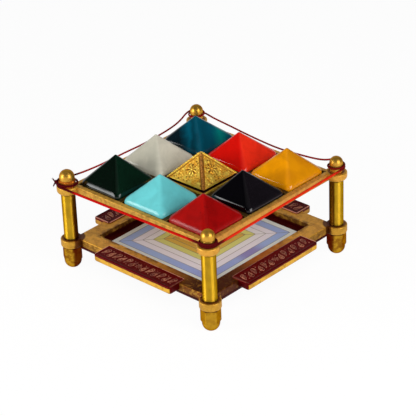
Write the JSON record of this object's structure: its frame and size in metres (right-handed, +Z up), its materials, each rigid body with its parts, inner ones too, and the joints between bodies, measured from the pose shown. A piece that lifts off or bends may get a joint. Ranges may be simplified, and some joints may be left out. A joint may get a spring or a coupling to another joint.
{
  "type": "vastu pyramid",
  "caption": "Brass stand on four posts that holds small coloured pyramids in a square grid above a framed print of nested squares, tied round with red thread.",
  "frame": {"origin": "middle of the square stand, on the surface under its feet", "axes": "+Z up; X and Y run along the sides of the square; the front post stands at +X -Y"},
  "size_m": [0.0986, 0.0986, 0.0559],
  "materials": {
    "cast_brass": "antique gold casting, matte with dark patina in the hollows",
    "embossed_brass": "embossed, bright on the high spots",
    "maroon_board": "painted maroon above, black edge",
    "printed_card": "matte print of nested coloured squares",
    "stone_dark_green": "polished",
    "stone_turquoise": "polished",
    "stone_red": "polished",
    "stone_white": "polished",
    "stone_black": "polished",
    "stone_teal": "polished",
    "stone_coral": "polished",
    "stone_amber": "polished",
    "maroon_enamel": "gloss enamel",
    "polished_brass": "polished, with handling marks",
    "steel_stud": "threaded, as rolled",
    "red_thread": "twisted cotton, dyed red"
  },
  "bodies": {
    "root": {"base_frame": "cast_brass", "top_plate": "cast_brass", "pyramid_brass_centre": "embossed_brass", "backing_board": "maroon_board", "print_card": "printed_card", "pyramid_dark_green": "stone_dark_green", "pyramid_turquoise": "stone_turquoise", "pyramid_red": "stone_red", "pyramid_white": "stone_white", "pyramid_black": "stone_black", "pyramid_teal": "stone_teal", "pyramid_coral": "stone_coral", "pyramid_amber": "stone_amber", "enamel_panel_front_left": "maroon_enamel", "enamel_panel_front_right": "maroon_enamel", "enamel_panel_back_right": "maroon_enamel", "enamel_panel_back_left": "maroon_enamel", "post_tube_left": "polished_brass", "post_stud_left": "steel_stud", "top_nut_left": "polished_brass", "foot_nut_left": "polished_brass", "post_tube_front": "polished_brass", "post_stud_front": "steel_stud", "top_nut_front": "polished_brass", "foot_nut_front": "polished_brass", "post_tube_right": "polished_brass", "post_stud_right": "steel_stud", "top_nut_right": "polished_brass", "foot_nut_right": "polished_brass", "post_tube_back": "polished_brass", "post_stud_back": "steel_stud", "top_nut_back": "polished_brass", "foot_nut_back": "polished_brass", "thread_winding_left": "red_thread", "thread_winding_front": "red_thread", "thread_winding_right": "red_thread", "thread_winding_back": "red_thread", "thread_stretch_front_left": "red_thread", "thread_stretch_front_right": "red_thread", "thread_stretch_back_right": "red_thread", "thread_stretch_back_left": "red_thread", "thread_knot": "red_thread"}
  },
  "joints": []
}
